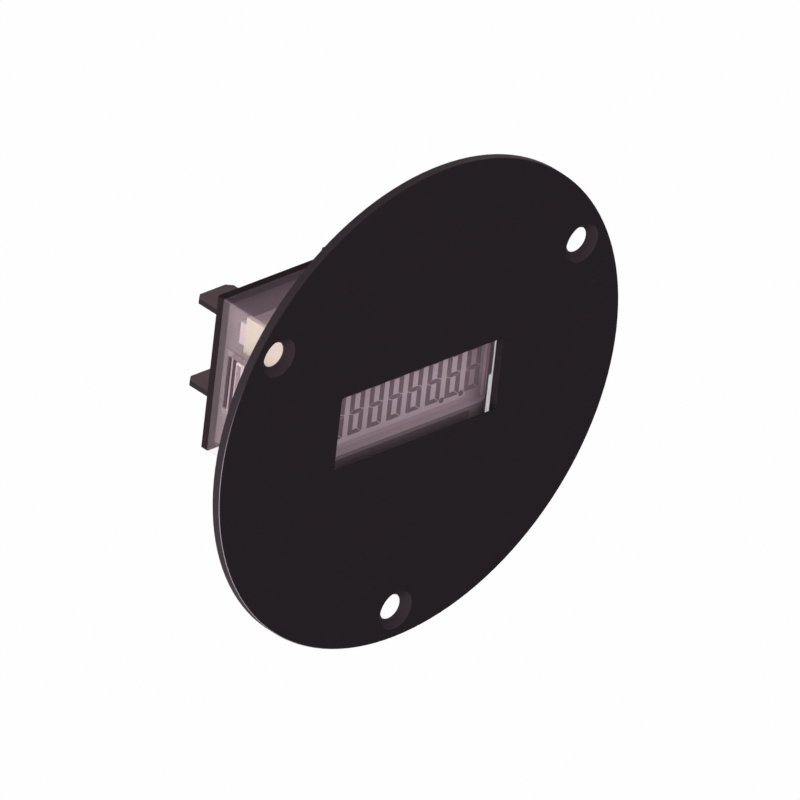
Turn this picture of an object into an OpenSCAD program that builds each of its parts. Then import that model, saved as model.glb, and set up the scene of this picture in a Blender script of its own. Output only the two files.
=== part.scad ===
// Panel hour meter: a clear snap-together case with a liquid crystal display,
// four blade terminals and a round three-hole flange plate.
// Millimetres. The origin is the centre of the flange plate's rear face, which seats on the panel.
// X runs to the right seen from the front, Y runs back behind the panel, Z runs up.

/* [Flange plate] */
// Diameter of the round flange plate
plate_d = 72; // [70:0.5:90]
// Thickness of the flange plate
plate_t = 1.3; // [1:0.1:3]
// Edge break round the front rim
plate_edge = 0.15; // [0.05:0.05:0.4]
// Distance from the rim to the centre of a screw hole
hole_inset = 4.25; // [3.6:0.05:8]
// Number of screw holes
hole_count = 3; // [3:1:6]
// Diameter of a screw hole
hole_d = 3.7; // [3.2:0.1:4.6]
// Diameter of a screw hole's countersink at the front face
sink_d = 5.8; // [5:0.1:6]
// How far the display window is wider than the polariser, on each side
window_over = 0.4; // [-2:0.1:0.8]
// How far the display window is lower than the polariser, above and below
window_under = 0.2; // [0:0.1:2]
// Corner radius of the display window
window_r = 0.3; // [0.1:0.1:1]
// Thickness left in front of the slope behind the window's long edges
window_lip = 0.15; // [0.1:0.05:0.5]
// Height of the collar that locates the case
collar_h = 2.4; // [1:0.1:4]
// Wall of the locating collar
collar_t = 1.2; // [0.8:0.1:2]
// Bond gap between the collar and the case
bond_gap = 0.15; // [0.05:0.05:0.4]

/* [Case] */
// Width of the case
body_w = 35.7; // [32:0.1:42]
// Height of the case
body_h = 23.4; // [21:0.1:30]
// Depth of the case from the flange plate to the rear cover
body_d = 19.4; // [18:0.1:26]
// Side wall of the case
wall_t = 1.2; // [0.8:0.05:1.4]
// Front wall of the case, the lens
lens_t = 0.8; // [0.6:0.1:1.5]
// Radius of the long outer edges
body_r = 0.2; // [0.1:0.1:1]
// Height of the snap slots and of the stop rib on each side wall
catch_h = 7.9; // [5:0.1:8.5]
// Length of one snap slot along the depth
catch_w = 0.75; // [0.5:0.05:0.85]
// Distance from one snap slot to the next
catch_pitch = 1.05; // [1:0.05:1.3]
// Number of snap slots on each side
catch_count = 2; // [1:1:3]
// Distance from the rear cover to the rearmost snap slot
catch_back = 1.95; // [1.5:0.05:3]
// Length of the stop rib along the depth
rib_w = 1.35; // [1:0.05:2]
// Height of the stop rib above the side wall
rib_proud = 0.4; // [0.2:0.05:0.7]
// Distance from the snap slots to the stop rib
rib_gap = 0.05; // [0.05:0.05:1]

/* [Rear cover] */
// Thickness of the rear cover
cover_t = 1.1; // [0.8:0.1:2]
// Thickness of a snap arm
arm_t = 1; // [0.7:0.05:1.1]
// Clearance between a snap arm and the side wall
arm_clear = 0.1; // [0.05:0.05:0.2]
// Clearance round a hook in its slot
hook_clear = 0.06; // [0.04:0.01:0.1]
// Depth of a hook's face below the outside of the case
hook_sunk = 0.1; // [0.05:0.05:0.5]

/* [Terminals] */
// Width of a blade
tab_w = 6.3; // [4.8:0.1:6.4]
// Thickness of a blade
tab_t = 0.8; // [0.5:0.1:1.2]
// Length of a blade behind the rear cover
tab_reach = 7.7; // [6:0.1:9]
// Width of the cut corner at a blade's tip
tip_cut_w = 0.85; // [0.3:0.05:1.2]
// Length of the cut corner at a blade's tip
tip_cut_l = 0.75; // [0.3:0.05:1.2]
// Distance from the side of the case to the middle of a blade
blade_inset_w = 6.75; // [6.6:0.05:6.9]
// Distance from the top or bottom of the case to the middle of a blade
blade_inset_h = 5.4; // [5.2:0.05:5.6]
// Width of a blade's solder pin
pin_w = 1; // [0.6:0.1:1.6]
// Length of the narrow pin above the circuit board
pin_reach = 1.5; // [0.5:0.1:3]
// Clearance round a blade in the rear cover and round a pin in the board
slot_clear = 0.2; // [0.1:0.05:0.3]

/* [Terminal carriers] */
// Width of a carrier
carrier_w = 8.2; // [7.8:0.1:8.4]
// Height of a carrier
carrier_h = 5.5; // [4.5:0.1:6]
// Thickness of a carrier's side cheek
cheek_t = 0.85; // [0.6:0.05:0.9]
// Distance from a cheek's end to the rear cover
cheek_back = 2.1; // [1.8:0.1:4]
// Step from a cheek's end down to the carrier's web
web_step = 1.4; // [0.5:0.1:3]
// Step from a cheek's edge in to the web's upper and lower faces
web_inset = 0.4; // [0.1:0.1:0.8]
// Height of the white collar round a blade
grommet_h = 3.25; // [2.2:0.05:4]
// Length of the white collar beyond the cheeks
grommet_t = 1; // [0.5:0.1:1.6]
// Clearance round a blade in its carrier and collar
grip_clear = 0.05; // [0.02:0.01:0.1]

/* [Display] */
// Thickness of one glass
glass_t = 0.7; // [0.5:0.1:1.1]
// Height of the contact ledge on the front glass, above and below the rear glass
ledge_h = 2.45; // [2.2:0.05:2.6]
// Gap between the two glasses
cell_gap = 0.1; // [0.06:0.01:0.2]
// Gap at each bonded or pressed face between the display's layers
layer_gap = 0.02; // [0.01:0.01:0.025]
// Width of the seal round the cell
seal_w = 0.8; // [0.4:0.1:1]
// Thickness of a polarising film
film_t = 0.2; // [0.1:0.05:0.3]
// Distance from the side of the glass to the front polariser
polariser_inset = 1.1; // [0.6:0.1:2]
// Distance from the side of the glass to the reflector
reflector_inset_w = 2.9; // [1:0.1:4]
// Distance from the top or bottom of the rear glass to the reflector
reflector_inset_h = 0.7; // [0.2:0.1:1.2]
// Height of the display's centre above the plate's centre
display_z = 0.25; // [-0.4:0.05:0.4]

/* [Digits] */
// Number of digits
digit_count = 8; // [4:1:8]
// Space left beside the row of digits on the polariser
digit_margin = 0.2; // [0:0.1:1.5]
// Space between two digits
digit_gap = 0.975; // [0.85:0.025:1.2]
// Distance from the top or bottom of the rear glass to the digits
digit_inset = 2.4; // [1.4:0.1:3]
// Width of a segment
stroke = 0.75; // [0.4:0.05:0.85]
// Gap between neighbouring segments
stroke_gap = 0.14; // [0.08:0.02:0.24]
// Sideways place of the row of digits on the display
digits_x = 0.3; // [-0.4:0.1:0.4]
// Diameter of a decimal point
dot_d = 0.7; // [0.4:0.05:0.8]

/* [Tray and circuit board] */
// Clearance between the tray or board and the side walls
tray_clear = 0.4; // [0.2:0.05:0.5]
// Depth of the tray from the front glass to the circuit board
tray_d = 4; // [3:0.1:6]
// Clearance round the glass in the tray
glass_clear = 0.1; // [0.05:0.05:0.2]
// Thickness of the tray's two upper corner posts beside the glass
post_w = 0.75; // [0.6:0.05:1.2]
// Height of the tray's rails above and below the glass
rail_h = 1.85; // [1.6:0.05:2.4]
// Distance from the side of the glass to a contact strip's end
strip_inset = 2.7; // [1.5:0.1:4]
// Width of an elastomer contact strip
strip_w = 1.1; // [0.8:0.05:1.1]
// Clearance round a contact strip in its slot
strip_clear = 0.1; // [0.05:0.05:0.15]
// Depth of the relief in the lower part of each side of the tray
relief_d = 0.45; // [0.2:0.05:0.6]
// Width of a tray clip
clip_w = 4; // [2:0.1:4.4]
// Thickness of a tray clip
clip_t = 1; // [0.7:0.1:1.2]
// Length of a tray clip's hook behind the board
clip_hook = 1; // [0.6:0.1:1.4]
// Thickness of the circuit board
board_t = 1.6; // [1:0.1:2]

/* [Components] */
// Width of the processor's square body
processor_w = 5; // [4:0.1:5.1]
// Diameter of the smoothing capacitor
capacitor_d = 5; // [4:0.1:5.2]
// Height of the smoothing capacitor
capacitor_h = 7; // [5:0.1:9]
// Diameter of the surge suppressor's disc
suppressor_d = 7; // [5:0.1:7.4]
// Thickness of the surge suppressor's disc
suppressor_t = 3.2; // [2:0.1:3.4]
// Diameter of the quartz crystal's can
crystal_d = 1.5; // [1:0.1:1.6]
// Length of the quartz crystal's can
crystal_l = 5; // [3:0.1:5.2]

/* [Hidden] */
$fn = 64;

// Name, column and row of each terminal
CORNERS = [
    ["upper_left", -1, 1], ["upper_right", 1, 1],
    ["lower_left", -1, -1], ["lower_right", 1, -1]
];
// Name and side of each contact strip
STRIPS = [["upper", 1], ["lower", -1]];
SIDES = [-1, 1];

// A cut's overshoot beyond the face it opens
cut = 1;

// Depths of the layers, from the case's front face back
polariser_y = lens_t + layer_gap;
glass_y = polariser_y + film_t + layer_gap;
cell_y = glass_y + glass_t;
seat_y = cell_y + layer_gap;
rear_glass_y = cell_y + cell_gap;
reflector_y = rear_glass_y + glass_t + layer_gap;
floor_y = reflector_y + film_t;
board_y = cell_y + tray_d;
parts_y = board_y + board_t;
cover_y = body_d;
back_y = cover_y + cover_t;
tip_y = back_y + tab_reach;
cheek_y = cover_y - cheek_back;
web_y = cheek_y - web_step;
grommet_y = cheek_y + grommet_t;

// Inside of the case, and the tray and board that fit it
room_w = body_w - 2 * wall_t;
room_h = body_h - 2 * wall_t;
tray_w = room_w - 2 * tray_clear;
tray_h = room_h - 2 * tray_clear;

// Blades, from the sides of the case
column_pitch = body_w - 2 * blade_inset_w;
row_pitch = body_h - 2 * blade_inset_h;

// Collar and screw circle of the flange plate
hole_circle_d = plate_d - 2 * hole_inset;
collar_in_w = body_w + 2 * bond_gap;
collar_in_h = body_h + 2 * bond_gap;

// Snap slots in the side walls, counted from the rear cover forwards
function catch_y(index) = cover_y - catch_back - catch_w - index * catch_pitch;
rib_y = catch_y(catch_count - 1) - rib_gap - rib_w;
arm_x = room_w / 2 - arm_clear;
arm_h = catch_h - 4 * hook_clear;

// Display, from the tray inwards to the digits and out to the window
glass_w = tray_w - 2 * post_w - 2 * glass_clear;
glass_h = tray_h - 2 * rail_h - 2 * glass_clear;
rear_glass_h = glass_h - 2 * ledge_h;
polariser_w = glass_w - 2 * polariser_inset;
polariser_h = rear_glass_h;
window_w = polariser_w + 2 * window_over;
window_h = polariser_h - 2 * window_under;
reflector_w = glass_w - 2 * reflector_inset_w;
reflector_h = rear_glass_h - 2 * reflector_inset_h;
strip_l = glass_w - 2 * strip_inset;
digit_pitch = (polariser_w - 2 * digit_margin) / digit_count;
digit_w = digit_pitch - digit_gap;
digit_h = rear_glass_h - 2 * digit_inset;
strip_z = rear_glass_h / 2 + ledge_h - strip_clear - strip_w / 2;
middle = digit_h / 2;
// Digits that are followed by a decimal point, counted from the right
POINTED = [2, 3];

// Tray
relief_top = -2.1;
clip_z = tray_h / 2 - clip_t / 2;
clip_bite = 0.6;
clip_clear = 0.15;
board_corner = 1;

// Room on the back of the board: half the width between the carriers, half the height between their rows
middle_room = column_pitch / 2 - carrier_w / 2;
side_room = row_pitch / 2 - carrier_h / 2;
half_board = tray_h / 2;

// Small parts on the back of the board: centres across and up, sizes, and distances from the room's edges
lead_t = 0.15;
lead_reach = 0.8;
wire_d = 0.6;
part_clear = 0.15;
chip_size = [1.25, 2, 0.6];
chip_step = 2.4;
chip_edge = 1.1;
chip_x = middle_room - chip_edge;
chip_z = -2.6;
CHIP_ROWS = [-2 : 2];
processor_at = [0, -2];
processor_t = 1.4;
processor_leads = 8;
memory_at = [-column_pitch / 2, 0];
memory_size = [3.9, 4.4, 1.5];
memory_lead_pitch = 1;
memory_lead_w = 0.4;
rectifier_at = [column_pitch / 2, 0];
rectifier_size = [4.9, 4.4, 2.4];
rectifier_lead_pitch = 2.5;
rectifier_lead_w = 0.9;
capacitor_edge = 0.5;
capacitor_foot = half_board - capacitor_edge - capacitor_d;
capacitor_at = [middle_room - capacitor_d / 2 - part_clear, capacitor_foot + capacitor_d / 2];
crystal_space = 0.3;
crystal_at = [-0.6, capacitor_foot - crystal_space - crystal_d / 2];
suppressor_edge = 2.2;
suppressor_at = [0, suppressor_edge - half_board];
suppressor_lift = 1.6;

// A prism along Y with the outline given in X and Z
module prism_y(from, to) {
    translate([0, to, 0])
        rotate([90, 0, 0])
            linear_extrude(to - from)
                children();
}

// A prism along X with the outline given in Y and Z, centred on the Y-Z plane
module prism_x(w) {
    rotate([0, 0, 90])
        rotate([90, 0, 0])
            translate([0, 0, -w / 2])
                linear_extrude(w)
                    children();
}

// A prism along Z with the outline given in X and Y, centred on the X-Y plane
module prism_z(height) {
    translate([0, 0, -height / 2])
        linear_extrude(height)
            children();
}

// A rectangle with round corners, centred on the origin
module rounded(w, h, r) {
    square([w - 2 * r, h], center = true);
    square([w, h - 2 * r], center = true);
    for (x = SIDES, z = SIDES)
        translate([x * (w / 2 - r), z * (h / 2 - r)])
            circle(r);
}

// A flat rectangular sheet between two depths
module sheet(w, h, from, to, up = 0) {
    prism_y(from, to)
        translate([0, up])
            square([w, h], center = true);
}

// Places a part on the back of the circuit board, with its own Z pointing to the rear
module on_board(at) {
    translate([at[0], parts_y, at[1]])
        rotate([-90, 0, 0])
            children();
}

// Section of the cut behind the window's long edges: they slope away at half a right angle from a thin
// front lip, so that they don't hide the display from above or below
module sight_section() {
    lip_y = window_lip - plate_t;
    rear_half = window_h / 2 - lip_y + cut;
    polygon([[lip_y, -window_h / 2], [lip_y, window_h / 2], [cut, rear_half], [cut, -rear_half]]);
}

// Flange plate with its window, countersunk screw holes and locating collar
module flange_plate() {
    sink_depth = (sink_d - hole_d) / 2;
    color("#231f20")
        difference() {
            union() {
                rotate([90, 0, 0])
                    rotate_extrude($fn = 180)
                        polygon([[0, 0], [plate_d / 2, 0], [plate_d / 2, plate_t - plate_edge],
                                 [plate_d / 2 - plate_edge, plate_t], [0, plate_t]]);
                prism_y(-plate_t / 2, collar_h)
                    rounded(collar_in_w + 2 * collar_t, collar_in_h + 2 * collar_t, body_r + collar_t);
            }
            prism_y(0, collar_h + cut)
                rounded(collar_in_w, collar_in_h, body_r);
            prism_y(-plate_t - cut, cut)
                rounded(window_w, window_h, window_r);
            prism_x(window_w)
                sight_section();
            for (index = [0 : hole_count - 1])
                rotate([0, -30 - index * 360 / hole_count, 0])
                    translate([hole_circle_d / 2, 0, 0])
                        rotate([90, 0, 0]) {
                            translate([0, 0, -cut])
                                cylinder(d = hole_d, h = plate_t + 2 * cut);
                            translate([0, 0, plate_t - sink_depth])
                                cylinder(d1 = hole_d, d2 = sink_d, h = sink_depth);
                            translate([0, 0, plate_t])
                                cylinder(d = sink_d, h = cut);
                        }
        }
}

// Section of the stop rib on a side wall: a low ridge with sloped flanks
module rib_section() {
    slope = rib_proud / 2;
    root = -wall_t / 2;
    polygon([[root, rib_y], [0, rib_y], [rib_proud, rib_y + slope], [rib_proud, rib_y + rib_w - slope],
             [0, rib_y + rib_w], [root, rib_y + rib_w]]);
}

// Clear case: a cup open at the rear, with snap slots and a stop rib on each side wall
module case_body() {
    color("#d8c8d0", 0.4)
        difference() {
            union() {
                prism_y(0, body_d)
                    rounded(body_w, body_h, body_r);
                for (side = [0, 1])
                    mirror([side, 0, 0])
                        translate([body_w / 2, 0, 0])
                            prism_z(catch_h)
                                rib_section();
            }
            sheet(room_w, room_h, lens_t, body_d + cut);
            for (index = [0 : catch_count - 1])
                translate([-body_w / 2 - cut, catch_y(index), -catch_h / 2])
                    cube([body_w + 2 * cut, catch_w, catch_h]);
        }
}

// Outline in X and Y of one snap arm with its hooks, on the right side
module arm_section() {
    reach = arm_clear + wall_t - hook_sunk;
    ramp = 0.3;
    translate([arm_x - arm_t, parts_y])
        square([arm_t, cover_y + cover_t / 2 - parts_y]);
    for (index = [0 : catch_count - 1]) {
        front = catch_y(index) + hook_clear;
        rear = catch_y(index) + catch_w - hook_clear;
        polygon([[arm_x - arm_t / 2, front], [arm_x, front],
                 [arm_x + reach, front + ramp * (rear - front)], [arm_x + reach, rear],
                 [arm_x - arm_t / 2, rear]]);
    }
}

// Rear cover with the blade slots and two snap arms that reach forward to the board
module rear_cover() {
    color("#2d2326") {
        difference() {
            prism_y(cover_y, back_y)
                rounded(body_w, body_h, body_r);
            for (corner = CORNERS)
                translate([corner[1] * column_pitch / 2, 0, corner[2] * row_pitch / 2])
                    sheet(tab_w + 2 * slot_clear, tab_t + 2 * slot_clear, cover_y - cut, back_y + cut);
        }
        for (side = [0, 1])
            mirror([side, 0, 0])
                prism_z(arm_h)
                    arm_section();
    }
}

// Blade terminal: one flat blank with cut tip corners and a narrow solder pin on its outer side
module terminal(column, row) {
    half = tab_w / 2;
    shoulder_y = parts_y + pin_reach;
    color("#6e6468")
        translate([column * column_pitch / 2, 0, row * row_pitch / 2])
            mirror([column < 0 ? 1 : 0, 0, 0])
                prism_z(tab_t)
                    polygon([[half - pin_w, board_y], [half, board_y], [half, tip_y - tip_cut_l],
                             [half - tip_cut_w, tip_y], [tip_cut_w - half, tip_y],
                             [-half, tip_y - tip_cut_l], [-half, shoulder_y], [half - pin_w, shoulder_y]]);
}

// Insulating carrier that stands on the board round a blade: a web between two cheeks
module carrier(column, row) {
    color("#eddece")
        translate([column * column_pitch / 2, 0, row * row_pitch / 2])
            difference() {
                union() {
                    sheet(carrier_w, carrier_h - 2 * web_inset, parts_y, web_y);
                    for (side = SIDES)
                        translate([side * (carrier_w - cheek_t) / 2, 0, 0])
                            sheet(cheek_t, carrier_h, parts_y, cheek_y);
                }
                sheet(tab_w + 2 * grip_clear, tab_t + 2 * grip_clear, parts_y - cut, cheek_y + cut);
            }
}

// White collar round a blade, keyed between the carrier's cheeks
module grommet(column, row) {
    color("#e1d0da")
        translate([column * column_pitch / 2, 0, row * row_pitch / 2])
            difference() {
                union() {
                    sheet(carrier_w - 2 * cheek_t - 2 * grip_clear, grommet_h, web_y, grommet_y);
                    sheet(carrier_w, grommet_h, cheek_y, grommet_y);
                }
                sheet(tab_w + 2 * grip_clear, tab_t + 2 * grip_clear, web_y - cut, grommet_y + cut);
            }
}

// Polarising film on the front glass
module front_polariser() {
    color("#8c7f86", 0.5)
        sheet(polariser_w, polariser_h, polariser_y, polariser_y + film_t, display_z);
}

// Front glass, taller than the rear one by the two contact ledges
module front_glass() {
    color("#b9b4ba", 0.4)
        sheet(glass_w, glass_h, glass_y, cell_y, display_z);
}

// Bottom segment of a digit, mitred at both ends
module bottom_segment() {
    polygon([[stroke_gap, 0], [digit_w - stroke_gap, 0],
             [digit_w - stroke - stroke_gap, stroke], [stroke + stroke_gap, stroke]]);
}

// Lower left segment of a digit, mitred below and pointed at the middle
module lower_left_segment() {
    polygon([[0, stroke_gap], [stroke, stroke + stroke_gap], [stroke, middle - stroke / 2 - stroke_gap / 2],
             [stroke / 2, middle - stroke_gap / 2], [0, middle - stroke_gap]]);
}

// Middle segment of a digit, pointed at both ends
module middle_segment() {
    tip = stroke / 2 + stroke_gap;
    flat = stroke + stroke_gap;
    polygon([[tip, middle], [flat, middle + stroke / 2], [digit_w - flat, middle + stroke / 2],
             [digit_w - tip, middle], [digit_w - flat, middle - stroke / 2], [flat, middle - stroke / 2]]);
}

// Seven segments of one digit, with its lower left corner at the origin
module digit() {
    middle_segment();
    for (up = [0, 1])
        translate([0, up * digit_h])
            mirror([0, up]) {
                bottom_segment();
                for (right = [0, 1])
                    translate([right * digit_w, 0])
                        mirror([right, 0])
                            lower_left_segment();
            }
}

// Dark segments of the display, between the two glasses
module lcd_segments() {
    row_w = (digit_count - 1) * digit_pitch + digit_w;
    color("#3c343a")
        prism_y(seat_y, rear_glass_y - layer_gap)
            translate([digits_x - row_w / 2, display_z - digit_h / 2]) {
                for (index = [0 : digit_count - 1])
                    translate([index * digit_pitch, 0])
                        digit();
                for (place = POINTED)
                    translate([(digit_count - place + 0.5) * digit_pitch + digit_w / 2, dot_d / 2])
                        circle(d = dot_d);
            }
}

// Seal round the edge of the cell
module cell_seal() {
    color("#8a8088")
        difference() {
            sheet(glass_w, rear_glass_h, seat_y, rear_glass_y - layer_gap, display_z);
            sheet(glass_w - 2 * seal_w, rear_glass_h - 2 * seal_w, seat_y - cut, rear_glass_y + cut,
                  display_z);
        }
}

// Rear glass of the display
module rear_glass() {
    color("#b9b4ba", 0.4)
        sheet(glass_w, rear_glass_h, rear_glass_y, rear_glass_y + glass_t, display_z);
}

// Reflecting film behind the rear glass
module reflector() {
    color("#c9bcc4")
        sheet(reflector_w, reflector_h, reflector_y, floor_y, display_z);
}

// Elastomer strip that joins the front glass's ledge to the circuit board
module contact_strip(side) {
    color("#2a2428")
        sheet(strip_l, strip_w, seat_y, board_y, display_z + side * strip_z);
}

// One tray clip with its hook, at the top edge of the tray
module tray_clip() {
    translate([0, 0, clip_z])
        sheet(clip_w, clip_t, board_y - cut, parts_y + clip_hook);
    prism_x(clip_w)
        polygon([[parts_y, clip_z], [parts_y, clip_z - clip_t / 2 - clip_bite],
                 [parts_y + clip_hook, clip_z - clip_t / 2], [parts_y + clip_hook, clip_z]]);
}

// Tray that holds the display: pocket, contact strip slots, upper corner posts and two clips
module display_tray() {
    glass_half_h = glass_h / 2 + glass_clear;
    color("#4a4146")
        difference() {
            union() {
                sheet(tray_w, tray_h, polariser_y, board_y);
                tray_clip();
                mirror([0, 0, 1])
                    tray_clip();
            }
            sheet(tray_w - 2 * post_w, 2 * glass_half_h, polariser_y - cut, seat_y, display_z);
            sheet(tray_w + 2 * cut, 2 * glass_half_h - post_w, polariser_y - cut, seat_y,
                  display_z - post_w / 2);
            sheet(glass_w + 2 * glass_clear, rear_glass_h + 2 * glass_clear, seat_y - cut, floor_y,
                  display_z);
            for (strip = STRIPS)
                sheet(strip_l + 2 * strip_clear, strip_w + 2 * strip_clear, cell_y - cut, board_y + cut,
                      display_z + strip[1] * strip_z);
            for (side = SIDES)
                translate([side * tray_w / 2, 0, (relief_top - tray_h / 2) / 2])
                    sheet(2 * relief_d, relief_top + tray_h / 2 + cut, polariser_y - cut, board_y + cut,
                          -cut / 2);
        }
}

// Circuit board with pin slots and clip notches
module circuit_board() {
    pin_x = column_pitch / 2 + tab_w / 2 - pin_w / 2;
    color("#2f4a3a")
        difference() {
            sheet(tray_w, tray_h, board_y, parts_y);
            for (corner = CORNERS)
                translate([corner[1] * pin_x, 0, corner[2] * row_pitch / 2])
                    sheet(pin_w + 2 * slot_clear, tab_t + 2 * slot_clear, board_y - cut, parts_y + cut);
            for (side = SIDES)
                sheet(clip_w + 2 * clip_clear, 2 * (clip_t + clip_clear), board_y - cut, parts_y + cut,
                      side * tray_h / 2);
            for (x = SIDES, z = SIDES)
                translate([x * tray_w / 2, 0, z * tray_h / 2])
                    rotate([0, 45, 0])
                        sheet(board_corner, board_corner, board_y - cut, parts_y + cut);
        }
}

// Row of bent leads along the +X edge of a chip
module lead_row(count, pitch, edge, level, w) {
    knee = 0.35 * lead_reach;
    foot = 0.65 * lead_reach;
    slant = 0.1 * lead_reach;
    for (index = [0 : count - 1])
        translate([edge, (index - (count - 1) / 2) * pitch + w / 2, 0])
            rotate([90, 0, 0])
                linear_extrude(w)
                    polygon([[-lead_t, level], [knee, level], [foot, lead_t], [lead_reach, lead_t],
                             [lead_reach, 0], [foot - slant, 0], [knee - slant, level - lead_t],
                             [-lead_t, level - lead_t]]);
}

// Moulded chip body with drafted halves and a first-pin dimple
module chip_body(w, h, t, lift) {
    half = (t - lift) / 2;
    draft = 0.93;
    difference() {
        union() {
            translate([0, 0, lift + half])
                linear_extrude(half, scale = draft)
                    square([w, h], center = true);
            translate([0, 0, lift + half])
                mirror([0, 0, 1])
                    linear_extrude(half, scale = draft)
                        square([w, h], center = true);
        }
        translate([0.8 - w / 2, h / 2 - 0.8, t - 0.1])
            cylinder(d = 0.6, h = cut, $fn = 24);
    }
}

// Processor in a square package with leads on four sides
module processor() {
    lift = 0.1;
    color("#2b2b2e")
        on_board(processor_at) {
            chip_body(processor_w, processor_w, processor_t, lift);
            for (turn = [0 : 3])
                rotate([0, 0, 90 * turn])
                    lead_row(processor_leads, processor_w / (processor_leads + 2), processor_w / 2,
                             (processor_t + lift + lead_t) / 2, processor_w / 24);
        }
}

// Memory chip with leads on two sides
module memory_chip() {
    lift = 0.1;
    color("#2b2b2e")
        on_board(memory_at) {
            chip_body(memory_size[0], memory_size[1], memory_size[2], lift);
            for (turn = [0, 2])
                rotate([0, 0, 90 * turn])
                    lead_row(4, memory_lead_pitch, memory_size[0] / 2, (memory_size[2] + lift + lead_t) / 2,
                             memory_lead_w);
        }
}

// Bridge rectifier with two leads on each side
module bridge_rectifier() {
    lift = 0.1;
    color("#2b2b2e")
        on_board(rectifier_at) {
            chip_body(rectifier_size[0], rectifier_size[1], rectifier_size[2], lift);
            for (turn = [0, 2])
                rotate([0, 0, 90 * turn])
                    lead_row(2, rectifier_lead_pitch, rectifier_size[0] / 2,
                             (rectifier_size[2] + lift + lead_t) / 2, rectifier_lead_w);
        }
}

// Quartz crystal in a round can, lying on the board on its two bent wires
module quartz_crystal() {
    level = crystal_d / 2 + lead_t;
    wire_reach = 1;
    color("#b8b6b4")
        on_board(crystal_at) {
            translate([-crystal_l / 2, 0, level])
                rotate([0, 90, 0])
                    rotate_extrude()
                        polygon([[0, 0], [crystal_d / 2 - 0.2, 0], [crystal_d / 2, 0.2],
                                 [crystal_d / 2, crystal_l], [0, crystal_l]]);
            for (side = SIDES)
                translate([crystal_l / 2, side * crystal_d / 4, 0]) {
                    translate([-lead_t, 0, level])
                        rotate([0, 90, 0])
                            cylinder(d = wire_d / 2, h = wire_reach + lead_t, $fn = 24);
                    translate([wire_reach, 0, 0])
                        cylinder(d = wire_d / 2, h = level + wire_d / 4, $fn = 24);
                }
        }
}

// Smoothing capacitor: a crimped can standing on the board, with a scored top
module smoothing_capacitor() {
    r = capacitor_d / 2;
    groove = 0.25;
    groove_z = 1.2;
    score = 0.3;
    color("#39475c")
        on_board(capacitor_at)
            difference() {
                rotate_extrude()
                    polygon([[0, 0], [r - groove, 0], [r, groove], [r, groove_z - groove],
                             [r - groove, groove_z], [r, groove_z + groove], [r, capacitor_h - groove],
                             [r - groove, capacitor_h], [0, capacitor_h]]);
                for (turn = [45, 135])
                    rotate([0, 0, turn])
                        translate([-r * 0.7, -score / 2, capacitor_h - score / 2])
                            cube([r * 1.4, score, cut]);
            }
}

// Surge suppressor: a lacquered disc held above the board on two wires
module surge_suppressor() {
    rim = 0.6;
    r = suppressor_d / 2;
    color("#3d5f8f")
        on_board(suppressor_at) {
            translate([0, suppressor_t / 2, suppressor_lift + r])
                rotate([90, 0, 0])
                    rotate_extrude()
                        polygon([[0, 0], [r - rim, 0], [r, rim], [r, suppressor_t - rim],
                                 [r - rim, suppressor_t], [0, suppressor_t]]);
            for (side = SIDES)
                translate([side * r / 2, 0, 0])
                    cylinder(d = wire_d, h = suppressor_lift + r / 2, $fn = 24);
        }
}

// Column of chip parts beside the processor: a body between two end caps
module chip_column(x) {
    cap = 0.4;
    cap_proud = 0.05;
    for (row = CHIP_ROWS)
        on_board([x, chip_z + row * chip_step]) {
            translate([-chip_size[0] / 2, -chip_size[1] / 2, cap_proud])
                cube([chip_size[0], chip_size[1], chip_size[2]]);
            for (end = SIDES)
                translate([-chip_size[0] / 2 - cap_proud, end * (chip_size[1] - cap) / 2 - cap / 2, 0])
                    cube([chip_size[0] + 2 * cap_proud, cap, chip_size[2] + 2 * cap_proud]);
        }
}

// Chip resistors to the right of the processor
module chip_resistors() {
    color("#1f1f22")
        chip_column(chip_x);
}

// Chip capacitors to the left of the processor
module chip_capacitors() {
    color("#b79c7a")
        chip_column(-chip_x);
}

flange_plate();
case_body();
rear_cover();
for (corner = CORNERS) {
    terminal(corner[1], corner[2]);
    carrier(corner[1], corner[2]);
    grommet(corner[1], corner[2]);
}
front_polariser();
front_glass();
lcd_segments();
cell_seal();
rear_glass();
reflector();
for (strip = STRIPS) {
    contact_strip(strip[1]);
}
display_tray();
circuit_board();
processor();
memory_chip();
bridge_rectifier();
quartz_crystal();
smoothing_capacitor();
surge_suppressor();
chip_resistors();
chip_capacitors();
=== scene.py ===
"""Looks of a panel hour meter: moulded black flange, clear case, segment display and blade terminals."""
import math

import bpy
import numpy as np
from mathutils import Matrix, Vector


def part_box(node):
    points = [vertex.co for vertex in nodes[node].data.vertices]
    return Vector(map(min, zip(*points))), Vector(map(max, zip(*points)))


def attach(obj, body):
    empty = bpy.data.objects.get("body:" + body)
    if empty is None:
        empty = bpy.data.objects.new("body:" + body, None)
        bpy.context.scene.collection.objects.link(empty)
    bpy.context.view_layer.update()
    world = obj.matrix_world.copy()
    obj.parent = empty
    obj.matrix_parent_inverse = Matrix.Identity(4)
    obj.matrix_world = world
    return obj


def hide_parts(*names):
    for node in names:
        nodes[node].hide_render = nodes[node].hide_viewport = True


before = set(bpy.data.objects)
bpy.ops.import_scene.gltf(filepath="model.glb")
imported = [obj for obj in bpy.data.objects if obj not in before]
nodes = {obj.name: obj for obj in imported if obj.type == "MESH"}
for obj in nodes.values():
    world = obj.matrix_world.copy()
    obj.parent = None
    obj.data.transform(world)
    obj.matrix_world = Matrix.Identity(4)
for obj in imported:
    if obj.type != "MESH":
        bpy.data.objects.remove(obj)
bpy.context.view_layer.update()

MM = 0.001
CORNERS = ("upper_left", "upper_right", "lower_left", "lower_right")


def solid_box(name):
    """Lowest and highest corner of one of the frame's solids, in millimetres."""
    return [np.array(corner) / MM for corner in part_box(name)]


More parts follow.
